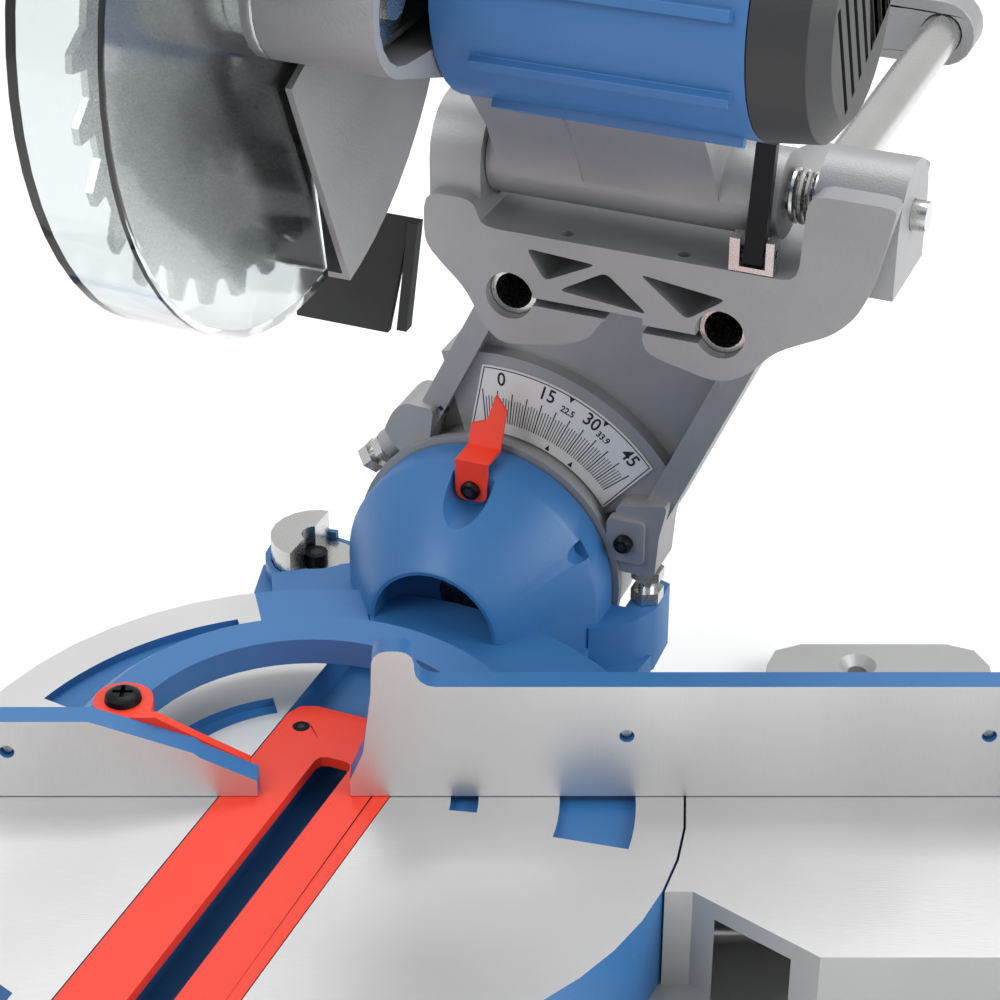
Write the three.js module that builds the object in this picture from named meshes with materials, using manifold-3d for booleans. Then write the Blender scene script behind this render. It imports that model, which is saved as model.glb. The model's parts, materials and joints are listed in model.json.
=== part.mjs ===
// Sliding compound mitre saw, 216 mm blade, in millimetres, +Z up.
// Origin: mitre axis on the bench. X runs along the fence, Y points behind it.
// Inside the turning groups, u is X, v is Y and the table top is z = 0.
import * as THREE from 'three';
import { mergeVertices } from 'three/addons/utils/BufferGeometryUtils.js';
import Module from 'manifold-3d';

const wasm = await Module();
wasm.setup();

// ---- driving dimensions -------------------------------------------------
const TABLE = 82;              // table top above the bench
const FOOT = 3;                // rubber pad under the casting
const GAP = 0.3;               // between pieces that touch
const MITRE_REST = 22.5;       // degrees, rear swung to +X
const RAISE = 66;              // degrees, head up at rest
const BLADE_R = 108;
const BLADE_V = -25;           // blade centre with the head down
const BLADE_Z = 98;
const HINGE_V = 170;
const HINGE_Z = 212;
const RAIL_R = 10;
const RAIL_Z = 160.5;
const RAILS_U = [29, 118];
const TURN_R = 150;            // turntable
const BASE_X = 310;            // half width of the base
const RIM_R = 60.5;            // bevel housing rim
const FLOOR = -46;             // floor of the turntable well
const UNDER = -(TABLE - FOOT); // underside of the casting
const TURRET = [-88, 190];
const MOTOR_V = 5;
const MOTOR_Z = 150;

// ---- solids -------------------------------------------------------------
function solid(geometry) {
  const bare = geometry.clone();
  bare.deleteAttribute('normal');
  bare.deleteAttribute('uv');
  const merged = mergeVertices(bare, 1e-4);
  return new wasm.Manifold(new wasm.Mesh({
    numProp: 3,
    vertProperties: new Float32Array(merged.attributes.position.array),
    triVerts: new Uint32Array(merged.index.array),
  }));
}

function geometryOf(manifold) {
  const mesh = manifold.getMesh();
  const geometry = new THREE.BufferGeometry();
  geometry.setAttribute('position', new THREE.BufferAttribute(mesh.vertProperties, 3));
  geometry.setIndex(new THREE.BufferAttribute(mesh.triVerts, 1));
  const faceted = geometry.toNonIndexed();
  faceted.computeVertexNormals();
  return faceted;
}

function box(x0, x1, y0, y1, z0, z1) {
  const geometry = new THREE.BoxGeometry(x1 - x0, y1 - y0, z1 - z0);
  geometry.translate((x0 + x1) / 2, (y0 + y1) / 2, (z0 + z1) / 2);
  return solid(geometry);
}

// A turned piece about an axis through (c1, c2); the profile is [along, radius] pairs.
function turned(axis, profile, c1 = 0, c2 = 0, sides = 24) {
  const points = profile.map(([along, r]) => new THREE.Vector2(r, along));
  if (points[0].x > 0) {
    points.push(points[0].clone());
  }
  const geometry = new THREE.LatheGeometry(points, sides);
  if (axis === 'x') {
    geometry.rotateZ(-Math.PI / 2);
    geometry.translate(0, c1, c2);
  } else if (axis === 'y') {
    geometry.translate(c1, 0, c2);
  } else {
    geometry.rotateX(Math.PI / 2);
    geometry.translate(c1, c2, 0);
  }
  const shape = solid(geometry);
  return shape.volume() < 0 ? solid(geometry.scale(-1, 1, 1)) : shape;
}

function rod(axis, r, a0, a1, c1 = 0, c2 = 0, sides = 16) {
  return turned(axis, [[a0, 0], [a0, r], [a1, r], [a1, 0]], c1, c2, sides);
}

function ring(axis, rOut, rIn, a0, a1, c1 = 0, c2 = 0, sides = 24) {
  return rod(axis, rOut, a0, a1, c1, c2, sides)
    .subtract(rod(axis, rIn, a0 - 1, a1 + 1, c1, c2, sides));
}

// An outline pushed along an axis. The outline is [X, Y] for z, [X, Z] for y, [Y, Z] for x.
function prism(axis, points, a0, a1) {
  const shape = new THREE.Shape(points.map(([a, b]) => new THREE.Vector2(a, b)));
  const geometry = new THREE.ExtrudeGeometry(shape, { depth: a1 - a0, bevelEnabled: false });
  const basis = new THREE.Matrix4();
  if (axis === 'z') {
    basis.makeTranslation(0, 0, a0);
  } else if (axis === 'y') {
    basis.set(1, 0, 0, 0, 0, 0, -1, a1, 0, 1, 0, 0, 0, 0, 0, 1);
  } else {
    basis.set(0, 0, 1, a0, 1, 0, 0, 0, 0, 1, 0, 0, 0, 0, 0, 1);
  }
  geometry.applyMatrix4(basis);
  return solid(geometry);
}

function arc(cx, cy, r, from, to, steps) {
  const points = [];
  for (let i = 0; i <= steps; i += 1) {
    const t = THREE.MathUtils.degToRad(from + ((to - from) * i) / steps);
    points.push([cx + r * Math.cos(t), cy + r * Math.sin(t)]);
  }
  return points;
}

// A ring sector in the same planes as prism, angles from the first axis.
function sector(axis, rOut, rIn, from, to, a0, a1, c1 = 0, c2 = 0, steps = 16) {
  const outline = [
    ...arc(c1, c2, rOut, from, to, steps),
    ...arc(c1, c2, rIn, to, from, steps),
  ];
  return prism(axis, outline, a0, a1);
}

function roundedBox(x0, x1, y0, y1, r) {
  return [
    ...arc(x1 - r, y1 - r, r, 0, 90, 2),
    ...arc(x0 + r, y1 - r, r, 90, 180, 2),
    ...arc(x0 + r, y0 + r, r, 180, 270, 2),
    ...arc(x1 - r, y0 + r, r, 270, 360, 2),
  ];
}

// An outline with its corners eased off over a length.
function eased(points, reach) {
  return points.flatMap((corner, i) => {
    const toward = ([a, b]) => {
      const span = Math.hypot(a - corner[0], b - corner[1]);
      const t = Math.min(reach / span, 0.45);
      return [corner[0] + (a - corner[0]) * t, corner[1] + (b - corner[1]) * t];
    };
    const from = toward(points[(i + points.length - 1) % points.length]);
    const to = toward(points[(i + 1) % points.length]);
    return [0, 0.35, 0.65, 1].map((t) => [0, 1].map((k) => (
      (1 - t) ** 2 * from[k] + 2 * t * (1 - t) * corner[k] + t * t * to[k]
    )));
  });
}

function hull2(c1, z1, r1, c2, z2, r2, steps = 10) {
  const along = THREE.MathUtils.radToDeg(Math.atan2(z2 - z1, c2 - c1));
  const span = Math.hypot(c2 - c1, z2 - z1);
  const lean = THREE.MathUtils.radToDeg(Math.acos((r1 - r2) / span));
  return [
    ...arc(c1, z1, r1, along + lean, along + 360 - lean, steps),
    ...arc(c2, z2, r2, along - lean, along + lean, steps),
  ];
}

const join = (first, ...rest) => rest.reduce((sum, item) => sum.add(item), first);
const cut = (first, ...rest) => rest.reduce((left, item) => left.subtract(item), first);

// ---- scene graph --------------------------------------------------------
const saw = new THREE.Group();
const table = new THREE.Group();
table.position.z = TABLE;
const turn = new THREE.Group();
turn.rotation.z = THREE.MathUtils.degToRad(-MITRE_REST);
const head = new THREE.Group();
head.position.set(0, HINGE_V, HINGE_Z);
head.rotation.x = THREE.MathUtils.degToRad(-RAISE);
const down = new THREE.Group(); // the head's own frame, drawn with the head lowered
down.position.set(0, -HINGE_V, -HINGE_Z);
head.add(down);
turn.add(head);
table.add(turn);
saw.add(table);

const finish = (color, roughness, metalness) => ({ color, roughness, metalness });
const CAST = finish('#9b9d9f', 0.5, 0.9);
const MACHINED = finish('#d4d5d6', 0.3, 0.9);
const BLUE = finish('#2f5f95', 0.4, 0.1);
const RED = finish('#f0401f', 0.4, 0.0);
const STEEL = finish('#b9bbbd', 0.3, 1.0);
const BLACK = finish('#26282a', 0.5, 0.0);
const RUBBER = finish('#2c2e2e', 0.8, 0.0);
const CLEAR = finish('#dfe6ea', 0.1, 0.0);

function add(group, name, shape, look) {
  const mesh = new THREE.Mesh(geometryOf(shape), new THREE.MeshStandardMaterial(look));
  mesh.name = name;
  group.add(mesh);
}

function hexPrism(axis, acrossFlats, a0, a1, c1, c2) {
  return rod(axis, acrossFlats / Math.sqrt(3), a0, a1, c1, c2, 6);
}

// ---- base ---------------------------------------------------------------
const EAR = [246, 190];
const EAR_TOP = -69;
const ROD_Z = -66;
const EXT_RODS = { right: [-72, -4], left: [-58, -4] };
const KNOB_X = 200;
const rodEnd = (y) => (y < -50 ? -104 : 46); // where an extension rod ends under the table
const REAR_CLEAR_R = 234;      // swept by the bevel housing behind the fence

function baseCasting() {
  const wings = prism('z', roundedBox(-BASE_X, BASE_X, -95, 62, 10), UNDER, 0);
  const bowl = rod('z', 128, UNDER, FLOOR, 0, 0, 40);
  const scaleRim = sector('z', 178, 120, -152, -28, UNDER, FLOOR);
  let body = join(wings, bowl, scaleRim);
  for (const side of [-1, 1]) {
    const lo = Math.min(side * 203, side * 308);
    const hi = Math.max(side * 203, side * 308);
    body = body.add(prism('z', roundedBox(lo, hi, 20, 207, 18), UNDER, EAR_TOP));
    const front = roundedBox(Math.min(side * 255, side * 308), Math.max(side * 255, side * 308), -140,
      -60, 14);
    body = body.add(prism('z', front, UNDER, EAR_TOP));
  }
  const well = rod('z', TURN_R + 1, FLOOR, 1, 0, 0, 48);
  const rearSweep = ring('z', REAR_CLEAR_R, 129, -62, 1, 0, 0,
    48).intersect(box(-240, 240, 12, 240, -62, 1));
  body = cut(body, well, rearSweep);
  for (const side of [-1, 1]) {
    const armSweep = [[side * 100, -100], [side * 200, -100], [side * 150, -58], [side * 100, -58]];
    body = body.subtract(prism('z', side > 0 ? armSweep : armSweep.reverse(), FLOOR, 1));
  }
  for (const side of [-1, 1]) {
    const innerHollow = prism('z', roundedBox(Math.min(side * 158, side * 226),
      Math.max(side * 158, side * 226), -87, 4, 5), UNDER - 1, -8);
    const lowRear = prism('z', roundedBox(Math.min(side * 158, side * 226),
      Math.max(side * 158, side * 226), 12, 54, 5), UNDER - 1, -68);
    const outerHollow = prism('z', roundedBox(Math.min(side * 234, side * 302),
      Math.max(side * 234, side * 302), -87, 54, 5), UNDER - 1, -8);
    body = cut(body, innerHollow, lowRear, outerHollow);
    for (const y of [EAR[1], -122]) {
      body = body.subtract(turned('z', [[UNDER - 1, 0], [UNDER - 1, 4.5], [EAR_TOP - 4, 4.5],
        [EAR_TOP + 1, 10], [EAR_TOP + 1, 0]],
        side * (y > 0 ? EAR[0] : 282), y, 20));
    }
  }
  const pocket = ring('z', 110, 36, UNDER - 1, FLOOR - 9, 0, 0, 40);
  body = body.subtract(pocket.intersect(box(-120, 120, -86, 54, -100, 0)));
  body = body.subtract(rod('z', 6.3, FLOOR - 25, 1, 0, 0, 12));
  for (const [side, rows] of [[1, EXT_RODS.right], [-1, EXT_RODS.left]]) {
    for (const y of rows) {
      body = body.subtract(rod('x', 5.4, side > 0 ? rodEnd(y) - 6 : -BASE_X - 2,
        side > 0 ? BASE_X + 2 : 6 - rodEnd(y), y, ROD_Z, 12));
    }
    body = body.subtract(rod('y', 4.4, -100, rows[0], side * KNOB_X, ROD_Z));
  }
  return body;
}
add(table, 'base_casting', baseCasting(), CAST);

[[-285, 185], [285, 185], [-262, -118], [262, -118]].forEach(([x, y], i) => {
  const pad = turned('z', [[-TABLE, 0], [-TABLE, 11], [UNDER - GAP, 12], [UNDER - GAP, 0]], x, y, 12);
  add(table, `foot_pad_${i + 1}`, pad, RUBBER);
});

add(table, 'mitre_scale', sector('z', 176, 154, -140, -40, FLOOR + GAP, FLOOR + 1), MACHINED);

// ---- fence --------------------------------------------------------------
const BOW_IN = 72;
const BOW_OUT = 95;
const FENCE_T = 10;
const FENCE_END = 300;

function fence() {
  const right = prism('y', [
    [18.3, GAP], [FENCE_END, GAP], ...arc(FENCE_END - 6, 47, 6, 0, 90, 3),
      ...arc(52.5, 61, 8, 270, 180, 4), ...arc(38.5, 63.5, 6, 0, 90, 3),
    ...arc(34, 63.5, 6, 90, 175, 3), [27.5, 50], [23.8, 21.4], [18.3, 8],
  ], 0, FENCE_T);
  const left = prism('y', [
    [-FENCE_END, GAP], [-18.3, GAP], [-18.3, 7.7], [-40.1, 19], [-42.7, 21.4], [-82.5, 36.4],
    ...arc(-FENCE_END + 6, 30.4, 6, 90, 180, 3),
  ], 0, FENCE_T);
  const bow = cut(
    turned('z', [[14, 0], [14, BOW_OUT], [21, BOW_OUT], [26, BOW_OUT - 6], [26, 0]], 0, 0, 56),
    rod('z', BOW_IN, 10, 30, 0, 0, 56),
  );
  let body = join(right, left, bow.intersect(box(-120, 120, 4, 120, 0, 60)));
  for (const side of [-1, 1]) {
    const foot = roundedBox(Math.min(side * 236, side * 298), Math.max(side * 236, side * 298), 4, 40, 6);
    body = body.add(prism('z', foot, GAP, 8));
    const web = prism('x', [[8, GAP], [36, GAP], [36, 8], [9, 30]], side > 0 ? 246 : -252,
      side > 0 ? 252 : -246);
    body = body.add(web);
    body = body.subtract(rod('z', 4.4, -1, 20, side * 272, 25, 16));
  }
  for (const [x, z] of [[126.8, 29.6], [268, 29.6], [-115.4, 22], [-256, 22]]) {
    body = body.subtract(rod('y', 3, -1, FENCE_T + 1, x, z, 12));
  }
  return body;
}
add(table, 'fence', fence(), BLUE);

const GUIDE = [-72, 22.5];     // boss of the red edge guide on the bow's left foot
function edgeGuide() {
  const boss = rod('z', 12, 26 + GAP, 31, GUIDE[0], GUIDE[1], 16);
  const strip = prism('y', [[-66, 31], [-66, 26.5], [-60, 26.5], [-44, 14], [-22, 2.5], [-22, 9.5],
    [-40, 20], [-58, 31]],
    FENCE_T + GAP, FENCE_T + 4.5);
  const neck = box(-80, -60, FENCE_T + GAP, 22, 26 + GAP, 31);
  return cut(join(boss, strip, neck), rod('z', 4.3, 20, 40, GUIDE[0], GUIDE[1], 12));
}
add(table, 'fence_edge_guide', edgeGuide(), RED);
const guideScrew = cut(
  join(turned('z', [[31 + GAP, 0], [31 + GAP, 7.5], [33.5, 7], [35, 4.5], [35, 0]], GUIDE[0], GUIDE[1]),
    rod('z', 4, 26.3, 32, GUIDE[0], GUIDE[1], 12)),
  box(GUIDE[0] - 4, GUIDE[0] + 4, GUIDE[1] - 0.9, GUIDE[1] + 0.9, 32.5, 36),
  box(GUIDE[0] - 0.9, GUIDE[0] + 0.9, GUIDE[1] - 4, GUIDE[1] + 4, 32.5, 36),
);
add(table, 'fence_guide_screw', guideScrew, BLACK);

// ---- table extensions ---------------------------------------------------
for (const [name, side, rows] of [['right', 1, EXT_RODS.right], ['left', -1, EXT_RODS.left]]) {
  const near = side * (BASE_X + 4);
  const far = side * (BASE_X + 20);
  const lo = Math.min(near, far);
  const hi = Math.max(near, far);
  let bar = prism('z', roundedBox(lo, hi, -90, 58, 6), UNDER + 4, 0);
  for (const y of rows) {
    bar = bar.add(rod('x', 5, side > 0 ? rodEnd(y) : near - 2, side > 0 ? near + 2 : -rodEnd(y), y,
      ROD_Z, 12));
  }
  add(table, `table_extension_${name}`, bar, MACHINED);
  const x = side * KNOB_X;
  const knob = join(
    rod('y', 4, -97, rows[0] - 5 - GAP, x, ROD_Z, 12),
    turned('y', [[-116, 0], [-116, 9], [-112, 11], [-97, 12], [-95.5, 10], [-95.5, 0]], x, ROD_Z, 12),
    box(x - 14, x + 14, -114, -100, ROD_Z - 3.5, ROD_Z + 3.5),
  );
  add(table, `extension_knob_${name}`, knob, BLACK);
}

// ---- turntable ----------------------------------------------------------
const ARM_END = -305;          // front of the turntable's arm
const CUP_R = 24;
const LEDGE = -7.6;            // top of the right stop's ledge
const POINTER = [2.1, 50.9];   // screw of the bevel pointer, u and z
const SLOPE = [[126, 29.5], [127.5, 31.8], [167.5, 59.3], [169.5, RIM_R], [186, RIM_R]];

function bevelHousing() {
  const cone = turned('y', [[126, 0], ...SLOPE, [186, 0]], 0, 0, 56);
  const side = (u) => SLOPE.map(([v, r]) => [u * r, v]);
  const walls = prism('z', [...side(-1).reverse(), ...side(1)], FLOOR + GAP, 0);
  const neck = join(walls, box(-58, 58, 100, 186, FLOOR + GAP, -18), box(-56, 56, 131, 186, -60, -40));
  const block = join(
    prism('z', [[20, 112], [62, 118], [76, 150], [80, 186], [50, 186], [28, 150]], FLOOR + GAP, -30),
    prism('z', [[58, 164], [74, 176], [80, 190], [79, 212], [72, 214.5], [66.8, 200], [66.8, 186.5],
      [40, 186]], -40, LEDGE),
  );
  const shoulder = join(
    prism('z', [[-40, 118], [-78, 122], [-106, 160], [-113, 184], [-88, 215], [-64, 205], [-60, 186],
      [-40, 186]], -43, -28),
    rod('z', CUP_R, -43, -20, TURRET[0], TURRET[1], 20),
    prism('z', [[-30, 110], [-72, 118], [-96, 160], [-60, 186], [-30, 186]], -43, -14),
  );
  const pointerSeat = join(
    rod('y', 9.8, 130, 166, 3, 52.5, 20),
    box(-6.8, 12.8, 130, 166, 52.5, 70),
  );
  const archway = join(
    rod('y', 28, 100, 140, 0, 0, 32),
    box(-28, 28, 100, 112, -16, 0),
    box(-28, 28, 112, 140, -40, 0),
    turned('y', [[139.9, 0], [139.9, 28], [148, 24], [156, 12], [158, 0]], 0, 0, 32),
  );
  const dimple = rod('y', 4.6, 140, 171, 52.5, 29, 16);
  let body = cut(join(cone, neck, block, shoulder), archway, pointerSeat, dimple);
  body = body.subtract(box(-88, -55, 187, 216, -24.2, 0).intersect(rod('z', CUP_R + 1, -30, 0,
    TURRET[0], TURRET[1])));
  body = cut(body, rod('z', 21.4, -26, 10, TURRET[0], TURRET[1], 20),
    rod('z', 3.3, -50, -20, TURRET[0], TURRET[1], 12));
  body = cut(body, rod('y', 10.3, 155, 190, 0, 0, 16), rod('y', 2.3, 150, 176, POINTER[0], POINTER[1],
    12));
  return body;
}

function turntableCasting() {
  const disc = rod('z', TURN_R, FLOOR + GAP, 0, 0, 0, 48);
  const arm = prism('z', [[-46, -120], [-46, ARM_END + 14], ...arc(-32, ARM_END + 14, 14, 180, 270, 4),
    ...arc(32, ARM_END + 14, 14, 270, 360, 4), [46, -120]], -44, 0);
  const nose = box(-26, 26, ARM_END, ARM_END + 24, -72, -40);
  let body = join(disc, arm, nose);
  const halfPocket = ring('z', 141, 30, FLOOR - 1, -12, 0, 0, 40);
  body = cut(body, halfPocket.intersect(box(40, 150, -150, 98, -60, 0)),
    halfPocket.intersect(box(-150, -40, -150, 98, -60, 0)));
  body = body.subtract(box(-32, 32, ARM_END + 14, -148, -60, -24));
  for (const [rOut, rIn, from, to] of [[131, 101, 129, 172], [69, 58, 127, 166]]) {
    body = body.subtract(sector('z', rOut, rIn, from, to, -4, 1, 0, 0, 14));
    body = body.subtract(sector('z', rOut, rIn, 180 - to, 180 - from, -4, 1, 0, 0, 14));
  }
  body = body.add(bevelHousing());
  const insertSeat = box(-31.5, 31.5, ARM_END + 17, 58, -5, 1);
  const bladeChannel = box(-13, 22, ARM_END + 25, 66, -21, 1);
  const rearChannel = box(-31.5, 31.5, 57, 112, -16, 1);
  body = cut(body, insertSeat, bladeChannel, rearChannel);
  body = cut(body, rod('z', 6.3, -60, -31));
  body = cut(body, rod('y', 5.4, ARM_END - 1, ARM_END + 26, 0, -60, 12),
    box(-7, 7, ARM_END - 1, ARM_END + 26, -44.5, -34));
  return body;
}
add(turn, 'turntable_casting', turntableCasting(), BLUE);

function kerfInsert() {
  const plate = prism('z', roundedBox(-31, 31, ARM_END + 18, 57, 9), -5 + GAP, 0);
  const kerf = prism('z', roundedBox(-6.5, 9, ARM_END + 28, 27, 4), -10, 1);
  let body = plate.subtract(kerf);
  for (const v of [ARM_END + 23, 42]) {
    for (const u of [-22, 22]) {
      body = body.subtract(turned('z', [[-10, 0], [-10, 1.8], [-2.2, 1.8], [0.1, 4], [0.1, 0]], u, v,
        12));
    }
  }
  return body;
}
add(turn, 'kerf_insert', kerfInsert(), RED);

add(turn, 'mitre_pivot_bolt', rod('z', 6, FLOOR - 22, -31.5), STEEL);

function bevelPointer() {
  const strip = prism('x', [
    [164.2, 44], [165.7, 44], [165.7, 63.2], [179.8, 63.2], [188.5, 87], [187, 87.5], [178.8, 64.7],
      [164.2, 64.7],
  ], -14, 18);
  const face = prism('y', [
    ...arc(-1.2, 49.3, 4, 180, 270, 3), ...arc(5.6, 49.3, 4, 270, 360, 3), [9.8, 64], [10.3, 80.5],
      [4.5, 86.5],
    [1.8, 75.5], [-5.2, 73],
  ], 140, 200);
  return cut(strip.intersect(face), rod('y', 2.4, 150, 170, POINTER[0], POINTER[1], 12));
}
add(turn, 'bevel_pointer', bevelPointer(), RED);
const pointerScrew = join(
  turned('y', [[161.2, 0], [161.2, 3.2], [162.4, 4.4], [163.9, 4.4], [163.9, 0]], POINTER[0],
    POINTER[1], 16),
  rod('y', 2, 163, 174, POINTER[0], POINTER[1], 10),
);
add(turn, 'bevel_pointer_screw', pointerScrew, BLACK);
add(turn, 'mitre_pointer', join(box(46 + GAP, 48, -170, -158, -40, -18),
  box(46 + GAP, 56, -165.5, -162.5, -42, -40)), RED);

const mitreKnob = join(
  rod('y', 5, ARM_END - 4, -178 - 2 * GAP, 0, -60, 12),
  turned('y', [[-42, 0], [-42, 13], [-37, 16], [-16, 17], [-8, 12], [-1, 9],
    [-1, 0]].map(([a, q]) => [a + ARM_END, q]), 0, -60, 12),
);
add(turn, 'mitre_lock_knob', mitreKnob, BLACK);
const detent = join(
  box(-5, 5, ARM_END - 20, -158, -40, -37),
  box(-12, 12, ARM_END - 26, ARM_END - 14, -40, -36),
  box(-4, 4, -166, -158, -45, -39),
);
add(turn, 'detent_lever', detent, STEEL);

function turretStop() {
  const low = rod('z', 21, -25.7, -24, TURRET[0], TURRET[1], 20);
  const high = rod('z', 21, -24.5, -8, TURRET[0], TURRET[1],
    20).intersect(box(-140, TURRET[0] - 3, 150, 230, -30, 0));
  return cut(join(low, high), rod('z', 3.3, -30, 0, TURRET[0], TURRET[1], 12),
    rod('z', 6.5, -24, 0, TURRET[0], TURRET[1], 12));
}
add(turn, 'turret_stop', turretStop(), STEEL);
const turretScrew = join(
  rod('z', 3, -40, -23, TURRET[0], TURRET[1], 12),
  rod('z', 5.5, -24 + GAP, -18, TURRET[0], TURRET[1], 12),
);
add(turn, 'turret_screw', turretScrew, BLACK);

// ---- tilt arm -----------------------------------------------------------
const ARM_FRONT = 208;
const ARM_BACK = 228;
const SLIDE_FRONT = 198;
const SLIDE_BACK = 290;
const LEAN_LEFT = [[-47.5, 44.6], [-12.5, 116.6], [4, 150]];
const LEAN_RIGHT = [[79.5, 31], [113.3, 108], [131, 150]];

function tiltArm() {
  const hub = join(rod('y', RIM_R + 3, 187, 190.5, 0, 0, 56), rod('y', 59.5, 187, ARM_BACK, 0, 0, 56));
  const web = prism('y', [...LEAN_LEFT, ...[...LEAN_RIGHT].reverse(), [50, -20], [-40, 10]], ARM_FRONT,
    ARM_BACK);
  const flange = (edge, width) => prism('y', [
    ...edge, ...[...edge].reverse().map(([u, z]) => [u + width, z]),
  ], 195, ARM_BACK);
  const scaleBack = sector('y', 99, 30, 30, 106, 200.5, ARM_BACK, 0, 0, 24);
  let body = join(hub, web, flange(LEAN_LEFT, 12), flange(LEAN_RIGHT, -13), scaleBack);
  body = body.add(prism('y', eased([[-27, 71], [-41, 71.5], [-46.5, 66.5], [-51.5, 55.5], [-41, 43],
    [-30, 46]], 3), 190, 214));
  body = body.add(placed(rod('z', 7.2, -8, 9, 0, 0, 20), STOP_LEFT));
  body = body.add(prism('y', eased([[62, 9], [79, 9], [80.5, 30], [84, 47], [60, 42]], 3), 189, 212));
  body = body.add(prism('y', roundedBox(57, 74.4, 15.8, 37, 2), 186.5, 192));
  for (const u of RAILS_U) {
    body = body.add(rod('y', 22, SLIDE_FRONT, SLIDE_BACK, u, RAIL_Z, 28));
  }
  body = body.add(prism('y', [[4, 146], [131, 146], [140, 160], [118, 182], [29, 182], [8, 160]],
    SLIDE_FRONT, SLIDE_FRONT + 14));
  body = body.add(prism('y', [[20, 150], [127, 150], [127, 171], [20, 171]], SLIDE_FRONT, SLIDE_BACK));
  for (const u of RAILS_U) {
    body = body.subtract(rod('y', 12.5, SLIDE_FRONT - 1, SLIDE_BACK + 1, u, RAIL_Z, 20));
  }
  body = body.subtract(rod('y', 10.3, 180, ARM_BACK + 1, 0, 0, 16));
  body = body.subtract(rod('x', 4.4, 118, 150, 250, RAIL_Z, 12));
  body = body.subtract(rod('y', 2.6, 180, 194, STOP_PAD[0], STOP_PAD[1], 10));
  body = cut(body, stopShank(STOP_LEFT, 4.3, -10, 30), stopShank(STOP_RIGHT, 4.3, -1, 30));
  return body;
}

// Stop bolts: where each leaves its block, and the way its head points, in u and z.
const STOP_LEFT = { at: [-46.3, 49.3], aim: 224, v: 199 };
const STOP_RIGHT = { at: [73.3, 9], aim: 270, v: 197 };
const STOP_PAD = [65.5, 26];   // black screw over the right stop bolt

function placed(shape, stop) {
  return shape.rotate([0, 90 - stop.aim, 0]).translate([stop.at[0], stop.v, stop.at[1]]);
}
function stopShank(stop, r, from, length) {
  return placed(rod('z', r, -length, -from, 0, 0, 12), stop);
}
function stopBolt(stop, reach) {
  const shape = join(rod('z', 4, -28, reach, 0, 0, 12), hexPrism('z', 13, reach - 0.1, reach + 5.5, 0,
    0));
  return placed(shape, stop);
}
function stopNut(stop, away) {
  const shape = hexPrism('z', 13, away + GAP, away + 5, 0,
    0).subtract(rod('z', 4.3, away - 1, away + 6, 0, 0, 12));
  return placed(shape, stop);
}
add(turn, 'tilt_arm', tiltArm(), CAST);
add(turn, 'bevel_scale', prism('y', [...arc(0, 0, 93.3, 38.4, 94.5, 22),
  ...arc(0, 0, 60.5, 102.6, 33.2, 22)], 199.4, 200.2), MACHINED);
add(turn, 'stop_bolt_left', stopBolt(STOP_LEFT, 17.4), STEEL);
add(turn, 'stop_nut_left', stopNut(STOP_LEFT, 9), STEEL);
add(turn, 'stop_bolt_right', stopBolt(STOP_RIGHT, 10.7), STEEL);
add(turn, 'stop_nut_right', stopNut(STOP_RIGHT, 0), STEEL);
add(turn, 'stop_lock_screw', join(
  turned('y', [[182, 0], [182, 3], [183.3, 4.2], [186.2, 4.2], [186.2, 0]], STOP_PAD[0], STOP_PAD[1], 16),
  rod('y', 2.3, 186, 193.5, STOP_PAD[0], STOP_PAD[1], 10),
), BLACK);
add(turn, 'bevel_pivot_bolt', join(
  rod('y', 10, 157, 236, 0, 0, 16), hexPrism('y', 30, 250.3, 260, 0, 0), rod('y', 8, 235, 251, 0, 0, 12),
), STEEL);
const bevelLever = cut(join(
  ring('y', 17, 8.3, 236.3, 250, 0, 0, 20),
  prism('y', [[-14, 4], [30, 64], [42, 70], [46, 62], [14, -4]], 238, 248),
  rod('y', 9, 238, 254, 38, 66),
), rod('y', 8.3, 230, 260));
add(turn, 'bevel_lock_lever', bevelLever, BLACK);

['left', 'right'].forEach((name, i) => {
  let bush = ring('y', 12.3, RAIL_R + GAP, SLIDE_FRONT + 1, SLIDE_BACK - 1, RAILS_U[i], RAIL_Z, 20);
  if (name === 'right') {
    bush = bush.subtract(rod('x', 4.4, 118, 150, 250, RAIL_Z, 12));
  }
  add(turn, `rail_bush_${name}`, bush, BLACK);
});
add(turn, 'slide_lock_knob', join(
  rod('x', 4, RAILS_U[1] + RAIL_R + GAP, 145, 250, RAIL_Z, 12),
  turned('x', [[143, 0], [143, 8], [147, 13], [160, 14], [163, 11], [163, 0]], 250, RAIL_Z, 10),
), BLACK);

// ---- slide carriage -----------------------------------------------------
const RAIL_FRONT = 147;
const RAIL_REAR = 505;
const BRACKET = [142, 192];    // front and back of the head bracket
const DECK = 189;              // flat top of the bracket

['left', 'right'].forEach((name, i) => {
  const rail = ring('y', RAIL_R, 8, RAIL_FRONT, RAIL_REAR, RAILS_U[i], RAIL_Z, 20);
  add(turn, `rail_${name}`, rail, STEEL);
});

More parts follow.
